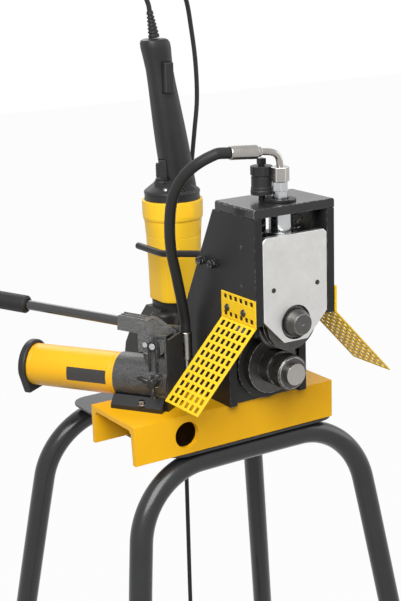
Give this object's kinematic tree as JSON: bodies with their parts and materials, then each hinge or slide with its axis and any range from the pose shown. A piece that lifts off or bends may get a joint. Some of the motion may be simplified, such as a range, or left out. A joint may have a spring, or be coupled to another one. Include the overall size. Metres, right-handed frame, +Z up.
{
  "type": "pipe roll groover",
  "caption": "Pipe roll groover on a four-legged stand: black pressing head over a drive roller, yellow hand pump with hose, upright electric drive and mesh guards.",
  "frame": {"origin": "on the floor under the middle of the machine's bounding box, cord and hose not counted", "axes": "+Z up; +X along the base channel to the right of someone facing the rollers; +Y from the rollers back to the drive"},
  "size_m": [0.5997, 0.504, 1.3386],
  "materials": {
    "black_paint": "satin black powder coat",
    "yellow_paint": "golden yellow powder coat",
    "guard_yellow": "bright yellow powder coat on punched sheet",
    "stand_paint": "glossy black paint",
    "zinc": "zinc plated, satin",
    "silver_plate": "ground steel face, satin",
    "hard_chrome": "polished hard chrome",
    "blackened": "blackened turned steel",
    "casting": "black painted casting",
    "spring_steel": "spring steel",
    "yellow_plastic": "golden yellow moulded plastic",
    "black_plastic": "dark grey moulded plastic",
    "rubber": "matte black rubber",
    "bronze": "bronze gear",
    "rotor_steel": "laminated rotor steel"
  },
  "bodies": {
    "frame": {"stand_plate": "stand_paint", "stand_frame_front": "stand_paint", "stand_frame_rear": "stand_paint", "foot_front_left": "rubber", "foot_front_right": "rubber", "foot_rear_left": "rubber", "foot_rear_right": "rubber", "base_channel": "yellow_paint", "side_plate_left": "black_paint", "side_plate_right": "black_paint", "top_plate": "black_paint", "slide_guide_left": "zinc", "slide_guide_right": "zinc", "bearing_block": "casting", "bearing_front": "silver_plate", "bearing_rear": "silver_plate", "piston_rod": "hard_chrome", "return_spring_left": "spring_steel", "return_spring_right": "spring_steel", "port_adapter": "zinc", "hose_nut": "zinc", "hose_elbow": "zinc", "hose_ferrule_top": "zinc", "hydraulic_hose": "rubber", "hose_ferrule_bottom": "zinc", "outlet_elbow": "zinc", "guard_left": "guard_yellow", "guard_right": "guard_yellow", "torque_fork": "black_paint", "pump_block": "casting", "pump_tank": "yellow_paint", "pump_cap": "black_plastic", "fulcrum_pin": "zinc", "motor_housing": "yellow_plastic", "gear_housing": "casting", "handle_shell": "black_plastic", "cord_sleeve": "rubber", "power_cord": "rubber", "cord_coil": "rubber", "cord_plug": "rubber"},
    "slide": {"pressure_slide": "black_paint", "slide_plate": "silver_plate", "upper_axle": "blackened", "gland_nut": "blackened", "depth_spindle": "black_paint"},
    "upper_roller": {"upper_roller": "blackened"},
    "depth_knob": {"depth_knob": "black_plastic"},
    "step_disc": {"step_disc": "black_paint"},
    "drive_line": {"drive_shaft": "silver_plate", "drive_roller": "blackened", "output_gear": "bronze"},
    "rotor": {"armature": "rotor_steel"},
    "pump_lever": {"pump_yoke": "casting", "lever_tube": "black_paint", "lever_grip": "rubber", "piston_pin": "zinc"},
    "pump_plunger": {"pump_piston": "silver_plate"},
    "release_valve": {"release_valve": "blackened"},
    "trigger": {"trigger": "black_plastic"},
    "direction_switch": {"direction_switch": "black_plastic"}
  },
  "joints": [
    {"name": "slide_press", "type": "slide", "parent": "frame", "child": "slide", "axis": [0, 0, 1], "range_m": [-0.0025, 0.024], "deforming": ["return_spring_left", "return_spring_right"]},
    {"name": "upper_roller_spin", "type": "hinge", "parent": "slide", "child": "upper_roller", "pos_m": [0.01888, -0.195, 0.8812], "axis": [0, 1, 0], "continuous": true},
    {"name": "depth_knob_turn", "type": "hinge", "parent": "slide", "child": "depth_knob", "pos_m": [0.00488, -0.173, 1.0653], "axis": [0, 0, 1], "range_deg": [-180, 180]},
    {"name": "step_disc_turn", "type": "hinge", "parent": "frame", "child": "step_disc", "pos_m": [0.01888, -0.1952, 1.0423], "axis": [0, 0, 1], "range_deg": [-180, 180]},
    {"name": "drive_spin", "type": "hinge", "parent": "frame", "child": "drive_line", "pos_m": [0.01888, -0.077, 0.8073], "axis": [0, 1, 0], "continuous": true},
    {"name": "rotor_spin", "type": "hinge", "parent": "frame", "child": "rotor", "pos_m": [0.01888, 0.081, 0.9253], "axis": [0, 0, 1], "continuous": true},
    {"name": "lever_swing", "type": "hinge", "parent": "frame", "child": "pump_lever", "pos_m": [-0.11069, -0.09149, 0.8473], "axis": [0.8348, 0.5505, 0], "range_deg": [-8, 45]},
    {"name": "plunger_slide", "type": "slide", "parent": "frame", "child": "pump_plunger", "axis": [0, 0, 1], "range_m": [-0.0018, 0.0099]},
    {"name": "valve_turn", "type": "hinge", "parent": "frame", "child": "release_valve", "pos_m": [-0.13659, -0.11396, 0.8003], "axis": [-0.8348, -0.5505, 0], "range_deg": [-15, 270]},
    {"name": "trigger_press", "type": "slide", "parent": "frame", "child": "trigger", "axis": [0, 1, 0], "range_m": [0, 0.006], "stiffness_N_per_m": 500, "springref_m": -0.002},
    {"name": "direction_switch_turn", "type": "hinge", "parent": "frame", "child": "direction_switch", "pos_m": [-0.00012, 0.077, 1.0503], "axis": [0, 0, 1], "range_deg": [-30, 30]}
  ],
  "couplings": [
    {"joint": "rotor_spin", "follows": "drive_spin", "ratio": 6},
    {"joint": "plunger_slide", "follows": "lever_swing", "m_per_rad": 0.01225}
  ]
}
